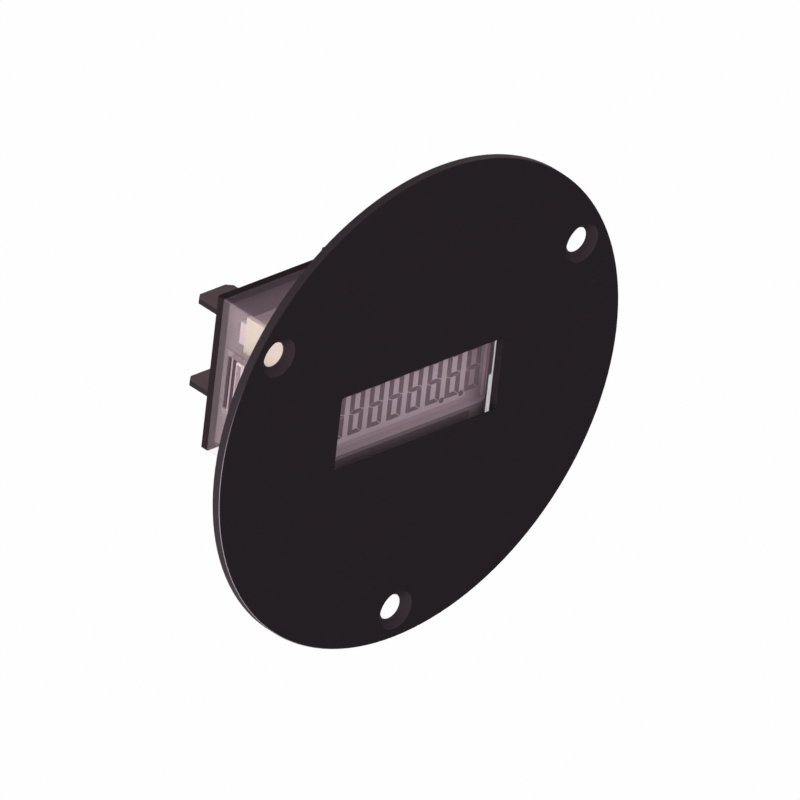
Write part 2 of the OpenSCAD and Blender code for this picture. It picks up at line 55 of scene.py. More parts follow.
def middle(name):
    """Middle of one of the frame's solids, in millimetres."""
    low, high = solid_box(name)
    return (low + high) / 2.0


# Sizes and places in millimetres that follow the frame's solids
PLATE_R = solid_box("flange_plate")[1][0]
PLATE_T = -solid_box("flange_plate")[0][1]
CASE_HALF = solid_box("rear_cover")[1][[0, 2]]
CASE_DEPTH = solid_box("case_body")[1][1]
COVER_REAR = solid_box("rear_cover")[1][1]
SEAT_Y, CELL_REAR = (corner[1] for corner in solid_box("lcd_segments"))
DISPLAY_Z = middle("reflector")[2]
BOARD_REAR = solid_box("circuit_board")[1][1]
BOARD_EDGE = solid_box("circuit_board")[1][[0, 2]] - 0.05
BLADE_Z = middle("terminal_upper_right")[2]
PIN_X = solid_box("terminal_upper_right")[1][0] - 0.5
WIRE_Z = middle("surge_suppressor")[2]
STRIPE_X = solid_box("smoothing_capacitor")[0][0] + 0.75
CAN_TOP = solid_box("smoothing_capacitor")[1][1] - 0.3
CHIP_Z = middle("chip_resistors")[2]
POCKET_HALF = solid_box("front_glass")[1][0] + 0.2

# Features of the plate, the case and the small parts
SINK_R = 2.9
HOLE_CIRCLE_R = 31.75
HOLE_PLACES = [(HOLE_CIRCLE_R * math.cos(a), HOLE_CIRCLE_R * math.sin(a)) for a in np.radians((30, 150, 270))]
WALL_T = 1.2
ROOM_HALF = CASE_HALF - WALL_T
LENS_T = 0.8
SLOT_HALF = 4.0
SLOT_WALL_Y = CASE_DEPTH - 2.85
RIB_Y, RIB_HALF = CASE_DEPTH - 4.475, 0.675
COVER_PLUG_Y = CASE_DEPTH - 1.2
WIRE_X = 1.75
CHIP_PITCH, CHIP_BODY_HALF = 2.4, 0.6
EJECTOR_R, EJECTOR_REACH = 2.4, 27.0

# Radius, or share of an outline, of the pinhole that is left at a new piece's poles
POLE_R, POLE_SHARE = 0.001, 0.01

# Limits of the zones that the finishes tell apart, and directions in X and Z. FACE is how near a point lies
# to a face to count as on it
FACE = 0.04
REVEAL_HALF = (16.6, 7.2)
# The next two are directions in X and Z of painted highlights: on one side of the screw seats, and on the
# plate's lower left edge.
SEAT_LIT_SIDE = (0.77, -0.64)
EDGE_HIGHLIGHT_SIDE = (-0.82, -0.57)
FRONT_ROOT_Y = 3.8
ARM_ZONE = (14.2, 17.6)
# The next two are widths of painted highlight bands: along the rib's edges, and along the case's side-to-top
# edges.
RIB_HIGHLIGHT_WIDTH = 0.2
CORNER_HIGHLIGHT_WIDTH = 0.16
PALE_HALF = 6.2

# Digits of the display: place of the first, step, sizes, strokes across and up, gap, and the decimal points
DIGIT_COUNT = 8
DIGIT_LEFT, DIGIT_FOOT = -13.31, -3.3
DIGIT_PITCH = 3.525
DIGIT_W, DIGIT_H = 2.55, 6.8
STROKE_W, STROKE_H = 0.77, 0.64
SEGMENT_GAP = 0.12
POINTS = ((7.355, -3.35), (10.88, -3.35))
POINT_R, POINT_SIDES = 0.42, 28

# The photograph's camera: azimuth, elevation and roll in degrees, pixels to the millimetre, the picture's
# width in pixels, and how far right of and below its middle the plate's centre lies
CAMERA_TURNS = (-46.01, 29.829, -6.446)
CAMERA_SCALE = 7.5389
PICTURE_WIDTH = 800.0
PLATE_OFF_MIDDLE = (19.1, 3.89)


class Wiring:
    """Adds nodes to one material or group and joins them by socket or by value."""

    def __init__(self, tree):
        self.tree = tree

    def feed(self, socket, value):
        if isinstance(value, bpy.types.NodeSocket):
            self.tree.links.new(value, socket)
        else:
            socket.default_value = value

    def node(self, kind, inputs=None, **settings):
        made = self.tree.nodes.new(kind)
        for key, value in settings.items():
            setattr(made, key, value)
        for key, value in (inputs or {}).items():
            self.feed(made.inputs[key], value)
        return made

    def math(self, operation, one, two=0.0, three=0.0):
        return self.node("ShaderNodeMath", {0: one, 1: two, 2: three}, operation=operation).outputs[0]

    def more(self, one, two):
        return self.math("GREATER_THAN", one, two)

    def less(self, one, two):
        return self.math("LESS_THAN", one, two)

    def all_of(self, *masks):
        """Product of masks: one only where each mask is one."""
        result = masks[0]
        for mask in masks[1:]:
            result = self.math("MULTIPLY", result, mask)
        return result

    def ease(self, value, low, high):
        """Smooth step from 0 at low to 1 at high."""
        made = self.node("ShaderNodeMapRange", {"Value": value, "From Min": low, "From Max": high},
                         interpolation_type="SMOOTHSTEP")
        return made.outputs["Result"]

    def span(self, value, low, high):
        """Value from 0..1 stretched to low..high."""
        return self.math("MULTIPLY_ADD", value, high - low, low)

    def pick(self, base, mask, other):
        """Number: base where the mask is 0, other where it is 1."""
        return self.node("ShaderNodeMix", {0: mask, 2: base, 3: other}, data_type="FLOAT").outputs[0]

    def tint(self, mask, base, other):
        """Colour: base where the mask is 0, other where it is 1."""
        return self.node("ShaderNodeMix", {0: mask, 6: base, 7: other}, data_type="RGBA").outputs[2]

    def length(self, one, two):
        squares = self.math("MULTIPLY_ADD", one, one, self.math("MULTIPLY", two, two))
        return self.math("SQRT", squares)

    def along(self, way, one, two):
        """How far the point (one, two) lies along the direction way."""
        return self.math("MULTIPLY_ADD", one, way[0], self.math("MULTIPLY", two, way[1]))

    def stretch(self, position, scale):
        return self.node("ShaderNodeVectorMath", {0: position, 1: scale}, operation="MULTIPLY").outputs[0]

    def noise(self, position, scale, detail=2.0, roughness=0.5):
        made = self.node("ShaderNodeTexNoise", {"Vector": position, "Scale": scale, "Detail": detail,
                                                "Roughness": roughness})
        return made.outputs["Fac"]

    def group(self, tree, **inputs):
        made = self.node("ShaderNodeGroup", node_tree=tree)
        for key, value in inputs.items():
            self.feed(made.inputs[key.replace("_", " ")], value)
        return made.outputs


def new_group(name, inputs, outputs):
    """Empty shader group with named number or vector inputs and number outputs."""
    tree = bpy.data.node_groups.new(name, "ShaderNodeTree")
    for label, kind in inputs:
        tree.interface.new_socket(label, in_out="INPUT", socket_type=kind)
    for label in outputs:
        tree.interface.new_socket(label, in_out="OUTPUT", socket_type="NodeSocketFloat")
    wiring = Wiring(tree)
    return tree, wiring, tree.nodes.new("NodeGroupInput").outputs, tree.nodes.new("NodeGroupOutput").inputs


def make_moulded_skin():
    """Moulded plastic: fine spark-eroded grain, broad drift in gloss and a few hairline scuffs."""
    tree, wire, given, out = new_group(
        "moulded_skin", [("Position", "NodeSocketVector"), ("Grain size", "NodeSocketFloat")],
        ["Grain", "Drift", "Scuff"])
    fineness = wire.math("DIVIDE", 1.0, given["Grain size"])
    wire.feed(out["Grain"], wire.noise(given["Position"], fineness, 3.0, 0.6))
    wire.feed(out["Drift"], wire.noise(given["Position"], 0.11, 3.0))
    streaks = wire.noise(wire.stretch(given["Position"], (0.35, 3.0, 5.5)), 0.9, 2.0, 0.4)
    lines = wire.ease(streaks, 0.66, 0.72)
    patches = wire.ease(wire.noise(given["Position"], 0.06, 1.0), 0.5, 0.68)
    wire.feed(out["Scuff"], wire.math("MULTIPLY", lines, patches))
    return tree


def make_drawn_lines():
    """Rolled or drawn metal: long lines along Y and slow mottling of the plating."""
    tree, wire, given, out = new_group(
        "drawn_lines", [("Position", "NodeSocketVector"), ("Line width", "NodeSocketFloat")],
        ["Lines", "Mottle"])
    fineness = wire.math("DIVIDE", 1.0, given["Line width"])
    drawn_out = wire.stretch(given["Position"], (1.0, 0.03, 1.0))
    wire.feed(out["Lines"], wire.noise(drawn_out, fineness, 3.0, 0.65))
    wire.feed(out["Mottle"], wire.noise(given["Position"], 0.55, 4.0, 0.6))
    return tree


def make_rim_band():
    """Band along an edge: one at the edge, fading to nothing over the width, broken up a little by noise."""
    tree, wire, given, out = new_group(
        "rim_band",
        [("Position", "NodeSocketVector"), ("Distance", "NodeSocketFloat"), ("Width", "NodeSocketFloat")],
        ["Band"])
    ratio = wire.math("DIVIDE", given["Distance"], given["Width"])
    broken = wire.math("MULTIPLY_ADD", wire.noise(given["Position"], 1.7, 3.0), 0.8, -0.4)
    wire.feed(out["Band"], wire.ease(wire.math("ADD", ratio, broken), 1.0, 0.2))
    return tree


MOULDED_SKIN = make_moulded_skin()
DRAWN_LINES = make_drawn_lines()
RIM_BAND = make_rim_band()


class Finish(Wiring):
    """One material: its Principled shader, and the position in millimetres in the object's own frame."""

    def __init__(self, name):
        self.material = bpy.data.materials.new(name)
        self.material.use_nodes = True
        super().__init__(self.material.node_tree)
        self.tree.nodes.clear()
        self.surface = self.node("ShaderNodeBsdfPrincipled")
        output = self.node("ShaderNodeOutputMaterial")
        self.tree.links.new(self.surface.outputs[0], output.inputs["Surface"])
        place = self.node("ShaderNodeTexCoord").outputs["Object"]
        self.position = self.stretch(place, (1000.0, 1000.0, 1000.0))
        split = self.node("ShaderNodeSeparateXYZ", {0: self.position})
        self.x, self.y, self.z = split.outputs
        self.across = self.math("ABSOLUTE", self.x)
        self.up = self.math("ABSOLUTE", self.z)

    def set(self, **values):
        for key, value in values.items():
            self.feed(self.surface.inputs[key.replace("_", " ")], value)

    def bump(self, height, distance, strength=1.0):
        made = self.node("ShaderNodeBump", {"Height": height, "Distance": distance * MM,
                                            "Strength": strength})
        self.feed(self.surface.inputs["Normal"], made.outputs["Normal"])


def rgb(red, green, blue):
    return (red, green, blue, 1.0)


def shade(colour, factor):
    return tuple(channel * factor for channel in colour[:3]) + (1.0,)


def moulded(name, colour, roughness, grain=0.3, depth=0.01, specular=0.3, contrast=0.25):
    """Opaque moulded plastic with grain, gloss drift and scuffs; returns the finish and its colour."""
    finish = Finish(name)
    skin = finish.group(MOULDED_SKIN, Position=finish.position, Grain_size=grain)
    tone = finish.math("MULTIPLY_ADD", skin["Grain"], 0.5, finish.math("MULTIPLY", skin["Drift"], 0.5))
    body = finish.tint(tone, shade(colour, 1.0 - contrast), shade(colour, 1.0 + contrast))
    worn = finish.tint(finish.math("MULTIPLY", skin["Scuff"], 0.3), body, shade(colour, 1.7))
    rough = finish.span(finish.math("ADD", skin["Drift"], finish.math("MULTIPLY", skin["Scuff"], -0.4)),
                        roughness - 0.08, roughness + 0.1)
    finish.set(Base_Color=worn, Roughness=rough, Specular_IOR_Level=specular)
    finish.bump(skin["Grain"], depth)
    return finish, worn


def drawn_metal(name, colour, roughness, line_width=0.12):
    """Rolled or drawn metal with lines along Y and mottled plating."""
    finish = Finish(name)
    lines = finish.group(DRAWN_LINES, Position=finish.position, Line_width=line_width)
    tone = finish.math("MULTIPLY_ADD", lines["Lines"], 0.6, finish.math("MULTIPLY", lines["Mottle"], 0.4))
    finish.set(Base_Color=finish.tint(tone, shade(colour, 0.72), shade(colour, 1.3)),
               Roughness=finish.span(lines["Mottle"], roughness - 0.1, roughness + 0.12), Metallic=1.0)
    finish.bump(lines["Lines"], 0.012)
    return finish


def flange_finish():
    """Black plate: matte moulded face with painted light and shade: its outer edge is painted lighter, each
    screw seat lighter on one side, the window's walls lighter than the face, and a painted highlight runs
    along the lower left front edge."""
    finish, body = moulded("flange_black", rgb(0.018, 0.0132, 0.016), roughness=0.55, grain=0.28, depth=0.012,
                           specular=0.02, contrast=0.14)
    radius = finish.length(finish.x, finish.z)
    inward = finish.math("SUBTRACT", PLATE_R, radius)
    # Painted light: the outer edge of the plate is coloured lighter than the face, for the light it catches.
    painted_rim_light = finish.group(RIM_BAND, Position=finish.position, Distance=inward, Width=0.12)["Band"]
    colour = finish.tint(painted_rim_light, body, rgb(0.036, 0.0265, 0.031))
    # Painted highlight: each screw seat is coloured lighter on its side toward SEAT_LIT_SIDE.
    seat = 0.0
    for hole_x, hole_z in HOLE_PLACES:
        off_x = finish.math("SUBTRACT", finish.x, hole_x)
        off_z = finish.math("SUBTRACT", finish.z, hole_z)
        within = finish.less(finish.length(off_x, off_z), SINK_R - 0.02)
        lit = finish.ease(finish.along(SEAT_LIT_SIDE, off_x, off_z), -1.5, 1.2)
        seat = finish.math("MULTIPLY_ADD", within, lit, seat)
    colour = finish.tint(seat, colour, rgb(0.044, 0.031, 0.039))
    # Painted light: the window's walls are coloured a little lighter than the plate's face.
    painted_reveal_light = finish.all_of(finish.less(finish.across, REVEAL_HALF[0]), finish.less(finish.up, REVEAL_HALF[1]),
                           finish.more(finish.y, 0.03 - PLATE_T))
    colour = finish.tint(painted_reveal_light, colour, rgb(0.036, 0.027, 0.033))
    # Painted highlight: a bright band along the plate's lower left front edge.
    toward = finish.math("DIVIDE", finish.along(EDGE_HIGHLIGHT_SIDE, finish.x, finish.z), radius)
    painted_edge_highlight = finish.all_of(finish.less(inward, 0.1), finish.less(finish.y, 0.12 - PLATE_T),
                        finish.ease(toward, 0.5, 0.9))
    finish.set(Base_Color=finish.tint(painted_edge_highlight, colour, rgb(0.35, 0.31, 0.33)))
    return finish


def case_finish():
    """Clear case: see-through by an alpha that is set wall by wall, and nothing where the wall is joined to
    the cover. It carries painted light and shade: a darker, purpler tone on the top and bottom walls, a
    raised alpha above the slots that lifts their shade, a painted glow on the stop rib, and painted
    highlights along the rib's edges and the case's side-to-top edges."""
    finish = Finish("case_clear")
    skin = finish.group(MOULDED_SKIN, Position=finish.position, Grain_size=0.9)
    across, up, depth = finish.across, finish.up, finish.y
    side_x, cap_z = CASE_HALF
    room_x, room_z = ROOM_HALF
    beside_slot = finish.all_of(finish.more(across, room_x + 0.05), finish.less(across, side_x - 0.05),
                                finish.less(up, SLOT_HALF), finish.more(depth, 1.2))
    slot_end = finish.all_of(finish.math("COMPARE", up, SLOT_HALF, 0.03),
                             finish.less(across, side_x - 0.02), finish.more(depth, 12.0))
    on_rib = finish.more(across, side_x + FACE)
    off_rib = finish.math("ABSOLUTE", finish.math("SUBTRACT", depth, RIB_Y))
    # Painted highlight: the rib's edges get a raised alpha here and a glow below.
    painted_rib_edge_highlight = finish.all_of(on_rib, finish.math("MAXIMUM", finish.more(off_rib, RIB_HALF - RIB_HIGHLIGHT_WIDTH),
                                                 finish.more(up, SLOT_HALF - RIB_HIGHLIGHT_WIDTH)))
    side_inside = finish.math("COMPARE", across, room_x, FACE)
    side_outside = finish.more(across, side_x - 0.5)
    between_slots = finish.all_of(finish.more(across, side_x - FACE), finish.less(up, SLOT_HALF),
                                  finish.math("COMPARE", depth, SLOT_WALL_Y, 0.16))
    front_root = finish.all_of(side_inside, finish.less(depth, FRONT_ROOT_Y))
    # Painted light: a raised alpha on the outer wall just above the slots lifts the shade there.
    painted_lift_above_slot = finish.all_of(side_outside, finish.more(up, SLOT_HALF), finish.less(up, SLOT_HALF + 0.85),
                               finish.more(depth, ARM_ZONE[0]), finish.less(depth, ARM_ZONE[1]))
    cap_inside = finish.math("COMPARE", up, room_z, FACE)
    cap_outside = finish.more(up, cap_z - FACE)
    # Painted highlight: a raised alpha along the edges between the side and the top and bottom walls.
    corner = finish.all_of(finish.more(across, side_x - CORNER_HIGHLIGHT_WIDTH), finish.more(up, cap_z - CORNER_HIGHLIGHT_WIDTH))
    lens = finish.less(depth, LENS_T + 0.03)
    joined = finish.more(depth, CASE_DEPTH - FACE)
    alpha = 0.2
    for mask, value in ((cap_outside, 0.11), (cap_inside, 0.21), (side_outside, 0.15), (side_inside, 0.24),
                        (front_root, 0.42), (painted_lift_above_slot, 0.24), (beside_slot, 0.16), (slot_end, 0.04),
                        (between_slots, 0.4), (on_rib, 0.3), (painted_rib_edge_highlight, 0.85), (corner, 0.28), (lens, 0.012),
                        (joined, 0.0)):
        alpha = finish.pick(alpha, mask, value)
    over_cover = finish.all_of(finish.more(across, room_x - 0.05), finish.more(depth, COVER_PLUG_Y))
    alpha = finish.math("MULTIPLY", alpha, finish.pick(1.0, over_cover, 0.82))
    veil = finish.span(skin["Drift"], 0.9, 1.1)
    streaked = finish.math("ADD", veil, finish.math("MULTIPLY", skin["Scuff"], 0.15))
    resin = finish.tint(skin["Drift"], rgb(0.77, 0.595, 0.65), rgb(0.87, 0.685, 0.74))
    # Painted shade: the top and bottom walls get a darker, purpler copy of the resin's colour.
    cap = finish.math("MAXIMUM", cap_outside, cap_inside)
    # Painted glow: the rib's face and, brighter, its edges glow though no lamp is there.
    painted_rib_glow = finish.tint(on_rib, rgb(0.0, 0.0, 0.0), rgb(0.07, 0.06, 0.065))
    finish.set(Base_Color=finish.tint(cap, resin, rgb(0.84, 0.58, 0.72)),
               Alpha=finish.math("MULTIPLY", alpha, streaked),
               Roughness=finish.span(skin["Drift"], 0.2, 0.34), Specular_IOR_Level=0.03,
               Emission_Color=finish.tint(painted_rib_edge_highlight, painted_rib_glow, rgb(0.3, 0.26, 0.28)), Emission_Strength=1.0)
    finish.bump(skin["Drift"], 0.05, 0.4)
    return finish


def cover_finish():
    """Black rear cover: satin moulded, its hooks given painted light where they fill the case's slots."""
    finish, body = moulded("cover_black", rgb(0.026, 0.0165, 0.019), roughness=0.6, grain=0.3, depth=0.012,
                           specular=0.005, contrast=0.16)
    # Painted light: the hooks' faces in the slots are coloured lighter than the cover's black.
    painted_hook_light = finish.all_of(finish.more(finish.across, ROOM_HALF[0] + 0.1),
                         finish.less(finish.y, CASE_DEPTH - 0.5))
    finish.set(Base_Color=finish.tint(painted_hook_light, body, rgb(0.088, 0.06, 0.071)))
    return finish


def film_finish(name, colour, alpha, roughness):
    """Thin see-through layer of the display, with a faint drift in its tone."""
    finish = Finish(name)
    skin = finish.group(MOULDED_SKIN, Position=finish.position, Grain_size=0.15)
    finish.set(Base_Color=finish.tint(skin["Drift"], shade(colour, 0.92), shade(colour, 1.08)),
               Alpha=finish.span(skin["Drift"], alpha * 0.9, alpha * 1.1),
               Roughness=finish.span(skin["Grain"], roughness - 0.05, roughness + 0.05),
               Specular_IOR_Level=0.3)
    return finish


def segment_finish():
    """Darkened segments of the cell: dark to the eye, while light on its way to the reflector passes them."""
    finish = moulded("segment_dark", rgb(0.2, 0.13, 0.165), roughness=0.55, grain=0.1, depth=0.0,
                     specular=0.1, contrast=0.04)[0]
    path = finish.node("ShaderNodeLightPath").outputs
    passing = finish.math("MAXIMUM", path["Is Shadow Ray"], path["Is Diffuse Ray"])
    finish.set(Alpha=finish.math("SUBTRACT", 1.0, passing))
    return finish


def tray_finish():
    """Grey tray: dark moulded frame, lighter inner sides, and a floor under the glass that is pale in the
    middle and darker towards the contact strips' slots."""
    finish, frame_grey = moulded("tray_grey", rgb(0.13, 0.094, 0.11), roughness=0.55, grain=0.3, depth=0.01,
                                 specular=0.2, contrast=0.15)
    off_centre = finish.math("ABSOLUTE", finish.math("SUBTRACT", finish.z, DISPLAY_Z))
    pocket = finish.all_of(finish.more(finish.y, SEAT_Y - 0.05), finish.less(finish.across, POCKET_HALF))
    flank = finish.all_of(finish.more(finish.across, POCKET_HALF - 0.15),
                          finish.less(finish.y, SEAT_Y + 0.49))
    floor = finish.all_of(pocket, finish.math("SUBTRACT", 1.0, flank))
    pale = finish.all_of(floor, finish.less(off_centre, PALE_HALF))
    side = finish.tint(flank, frame_grey, rgb(0.29, 0.21, 0.245))
    seat = finish.tint(floor, side, rgb(0.25, 0.185, 0.21))
    finish.set(Base_Color=finish.tint(pale, seat, rgb(0.525, 0.395, 0.46)))
    return finish


def reflector_finish():
    """Silvered film: very fine pearly grain."""
    finish = Finish("reflector_film")
    colour = rgb(0.72, 0.555, 0.64)
    pearl = finish.noise(finish.position, 9.0, 3.0, 0.7)
    finish.set(Base_Color=finish.tint(pearl, shade(colour, 0.94), shade(colour, 1.06)),
               Roughness=finish.span(pearl, 0.42, 0.6), Specular_IOR_Level=0.3)
    return finish


def contact_finish():
    """Elastomer strip: thin conducting layers between insulating ones, stacked along X."""
    finish = Finish("contact_rubber")
    layers = finish.node("ShaderNodeTexWave", {"Vector": finish.position, "Scale": 1.1, "Distortion": 0.15},
                         wave_type="BANDS", bands_direction="X").outputs["Fac"]
    finish.set(Base_Color=finish.tint(layers, rgb(0.105, 0.071, 0.089), rgb(0.15, 0.102, 0.125)),
               Roughness=finish.span(layers, 0.5, 0.75), Specular_IOR_Level=0.2)
    return finish


def board_finish():
    """Circuit board: glass cloth under solder mask, copper tracks on a grid, bare laminate at the edges."""
    finish = Finish("board_mask")
    cloth_x = finish.math("SINE", finish.math("MULTIPLY", finish.x, 9.0))
    cloth_z = finish.math("SINE", finish.math("MULTIPLY", finish.z, 9.0))
    cloth = finish.span(finish.math("MULTIPLY", cloth_x, cloth_z), 0.5, 0.62)
    bricks = finish.node("ShaderNodeTexBrick", {"Scale": 1.0, "Mortar Size": 0.16, "Mortar Smooth": 0.1,
                                                "Brick Width": 3.3, "Row Height": 1.27})
    flat = finish.node("ShaderNodeCombineXYZ", {0: finish.x, 1: finish.z})
    finish.feed(bricks.inputs["Vector"], flat.outputs[0])
    tracks = bricks.outputs["Fac"]
    mask = finish.tint(tracks, rgb(0.016, 0.034, 0.023), rgb(0.035, 0.075, 0.045))
    woven = finish.tint(finish.math("MULTIPLY", cloth, 0.25), mask, rgb(0.05, 0.07, 0.045))
    edge = finish.math("MAXIMUM", finish.more(finish.across, BOARD_EDGE[0]),
                       finish.more(finish.up, BOARD_EDGE[1]))
    finish.set(Base_Color=finish.tint(edge, woven, rgb(0.30, 0.27, 0.16)),
               Roughness=finish.pick(finish.pick(0.32, tracks, 0.25), edge, 0.8))
    finish.bump(tracks, 0.03)
    return finish


def capacitor_finish():
    """Sleeved can: dark sleeve with a pale polarity stripe and a bare metal top."""
    finish = Finish("capacitor_sleeve")
    skin = finish.group(MOULDED_SKIN, Position=finish.position, Grain_size=0.5)
    stripe = finish.less(finish.x, STRIPE_X)
    top = finish.more(finish.y, CAN_TOP)
    sleeve = finish.tint(stripe, rgb(0.02, 0.028, 0.05), rgb(0.42, 0.43, 0.46))
    varied = finish.tint(finish.math("MULTIPLY", skin["Drift"], 0.3), sleeve, rgb(0.05, 0.06, 0.09))
    finish.set(Base_Color=finish.tint(top, varied, rgb(0.6, 0.6, 0.61)), Metallic=top,
               Roughness=finish.span(skin["Drift"], 0.24, 0.4))
    return finish


def tinned_chip(name, body, node, body_half):
    """Moulded chip whose leads, beyond its body's half sizes in X and Z, are tinned metal."""
    finish, colour = moulded(name, body, roughness=0.55, grain=0.12, depth=0.006, specular=0.35)
    centre_x, centre_z = middle(node)[[0, 2]]
    half_x, half_z = body_half
    off_x = finish.math("ABSOLUTE", finish.math("SUBTRACT", finish.x, centre_x))
    off_z = finish.math("ABSOLUTE", finish.math("SUBTRACT", finish.z, centre_z))
    lead = finish.math("MAXIMUM", finish.more(off_x, half_x), finish.more(off_z, half_z))
    finish.set(Base_Color=finish.tint(lead, colour, rgb(0.5, 0.49, 0.47)), Metallic=lead)
    return finish


def end_capped(name, body):
    """Chip resistors or capacitors in a column along Z: plain bodies between tinned end caps."""
    finish, colour = moulded(name, body, roughness=0.5, grain=0.12, depth=0.004, specular=0.35)
    from_middle = finish.math("SUBTRACT", finish.z, CHIP_Z)
    from_nearest = finish.math("WRAP", from_middle, CHIP_PITCH / 2.0, -CHIP_PITCH / 2.0)
    cap = finish.more(finish.math("ABSOLUTE", from_nearest), CHIP_BODY_HALF)
    finish.set(Base_Color=finish.tint(cap, colour, rgb(0.52, 0.51, 0.49)), Metallic=cap)
    return finish


def grid_faces(rows, columns):
    """Quads of a grid of rows by columns points, with each row closed into a ring."""
    r, c = (a.ravel() for a in np.meshgrid(np.arange(rows - 1), np.arange(columns), indexing="ij"))
    r1, c1 = r + 1, (c + 1) % columns
    return np.stack([r * columns + c, r * columns + c1, r1 * columns + c1, r1 * columns + c], axis=1)


def turned(profile, centre, steps=32):
    """Solid of revolution about Y: profile rows of (radius, height) in mm, turned round centre (x, y, z).
    A point is (x + r cos a, y + h, z + r sin a), for a from 0 to a full turn."""
    profile = np.asarray(profile, float)
    angle = np.linspace(0.0, 2.0 * math.pi, steps, endpoint=False)
    radius, height = profile[:, 0][:, None], profile[:, 1][:, None]
    points = np.stack([centre[0] + radius * np.cos(angle), centre[1] + height + 0.0 * angle,
                       centre[2] + radius * np.sin(angle)], axis=2)
    return points.reshape(-1, 3), grid_faces(len(profile), steps)


def thin_plate(outline, front, rear):
    """Plate with a convex outline, rows of (x, z) in mm, between two depths. A point is c + s (o - c), for
    the outline's points o and their centre c, with s of 1 at the rims and POLE_SHARE at the poles."""
    outline = np.asarray(outline, float)
    turn = np.roll(outline, -1, axis=0)
    if np.sum(outline[:, 0] * turn[:, 1] - outline[:, 1] * turn[:, 0]) > 0.0:
        outline = outline[::-1]
    centre = outline.mean(axis=0)
    share = np.array([POLE_SHARE, 1.0, 1.0, POLE_SHARE])[:, None, None]
    flat = centre + share * (outline - centre)
    depth = np.repeat(np.array([front, front, rear, rear])[:, None], len(outline), axis=1)
    points = np.stack([flat[..., 0], depth, flat[..., 1]], axis=2)
    return points.reshape(-1, 3), grid_faces(4, len(outline))


def digit_outlines():
    """Outlines of a digit's seven segments from its lower left corner: a pointed bar in the middle, and one
    foot and one post that are mirrored about the digit's middle lines. Mitres run from the outer corners
    to the inner ones."""
    w, h, a, b, gap = DIGIT_W, DIGIT_H, STROKE_W, STROKE_H, SEGMENT_GAP
    half, tip = h / 2.0, gap / 2.0
    bar = np.array([(tip, half), (a, half + b / 2.0), (w - a, half + b / 2.0), (w - tip, half),
                    (w - a, half - b / 2.0), (a, half - b / 2.0)])
    foot = np.array([(gap, 0.0), (w - gap, 0.0), (w - a - tip, b), (a + tip, b)])
    post = np.array([(0.0, tip), (a, b + tip), (a, half - b / 2.0 - gap), (0.0, half - gap)])
    outlines = [bar]
    for up in (False, True):
        for shape in (foot, post, (w, 0.0) + (-1.0, 1.0) * post):
            outlines.append((0.0, h) + (1.0, -1.0) * shape if up else shape)
    return outlines


def joined_mesh(name, parts, material, smooth=True):
    """One mesh from several (points in mm, faces) parts, riding on the meter's only body."""
    points, faces, first = [], [], 0
    for part_points, part_faces in parts:
        points.append(part_points)
        faces.append(part_faces + first)
        first += len(part_points)
    mesh = bpy.data.meshes.new(name)
    mesh.from_pydata(np.concatenate(points) * MM, [], np.concatenate(faces).tolist())
    mesh.update()
    mesh.polygons.foreach_set("use_smooth", np.full(len(mesh.polygons), smooth))
    mesh.materials.append(material)
    piece = bpy.data.objects.new(name, mesh)
    bpy.context.scene.collection.objects.link(piece)
    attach(piece, "root")
    return piece


def fillet_profile(foot, top, height, steps=9):
    """Concave solder fillet: radius falls from foot to top as (1 - t) squared while height rises evenly.
    It closes underneath and above, but for a pinhole at either pole."""
    t = np.linspace(0.0, 1.0, steps)
    flank = np.stack([top + (foot - top) * (1.0 - t) ** 2, height * t], axis=1)
    return np.concatenate([[[POLE_R, 0.0]], flank, [[POLE_R, height]]])[::-1]


def solder_fillets(material):
    """Solder where the blades' pins and the suppressor's wires meet the board."""
    blades = [turned(fillet_profile(1.05, 0.62, 0.9), (side * PIN_X, BOARD_REAR, row * BLADE_Z))
              for side in (-1, 1) for row in (-1, 1)]
    wires = [turned(fillet_profile(0.75, 0.34, 0.7), (side * WIRE_X, BOARD_REAR, WIRE_Z), 24)
             for side in (-1, 1)]
    joined_mesh("solder_fillets", blades + wires, material)


def segment_film(material):
    """Darkened segments of all digits and the two decimal points, as thin plates in the cell."""
    feet = [(DIGIT_LEFT + index * DIGIT_PITCH, DIGIT_FOOT) for index in range(DIGIT_COUNT)]
    parts = [thin_plate(outline + foot, SEAT_Y, CELL_REAR) for foot in feet for outline in digit_outlines()]
    angle = np.linspace(0.0, 2.0 * math.pi, POINT_SIDES, endpoint=False)
    circle = POINT_R * np.stack([np.cos(angle), np.sin(angle)], axis=1)
    parts += [thin_plate(circle + place, SEAT_Y, CELL_REAR) for place in POINTS]
    piece = joined_mesh("segment_film", parts, material, smooth=False)
    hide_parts("lcd_segments")


def ejector_marks(material):
    """Shallow raised rings that the ejector pins leave on the back of the flange plate."""
    t = np.linspace(0.0, math.pi, 9)
    ring = np.stack([EJECTOR_R + 0.14 * np.cos(t), 0.07 * np.sin(t)], axis=1)
    turns = np.radians((0.0, 90.0, 180.0, 240.0, 300.0))
    parts = [turned(ring, (EJECTOR_REACH * math.cos(a), 0.0, EJECTOR_REACH * math.sin(a)), 40) for a in turns]
    joined_mesh("ejector_marks", parts, material)


def gate_mark(material):
    """Trimmed gate in the middle of the rear cover: a low ring round a snapped-off stub."""
    profile = [(POLE_R, 0.16), (0.25, 0.2), (0.42, 0.12), (0.5, 0.02), (1.0, 0.02), (1.1, 0.1), (1.2, 0.1),
               (1.3, 0.0)]
    joined_mesh("gate_mark", [turned(profile, (0.0, COVER_REAR, 0.0), 40)], material)


def dress(finish, *names):
    for name in names:
        mesh = nodes[name].data
        mesh.materials.clear()
        mesh.materials.append(finish.material)


def at_corners(stem):
    return [f"{stem}_{corner}" for corner in CORNERS]


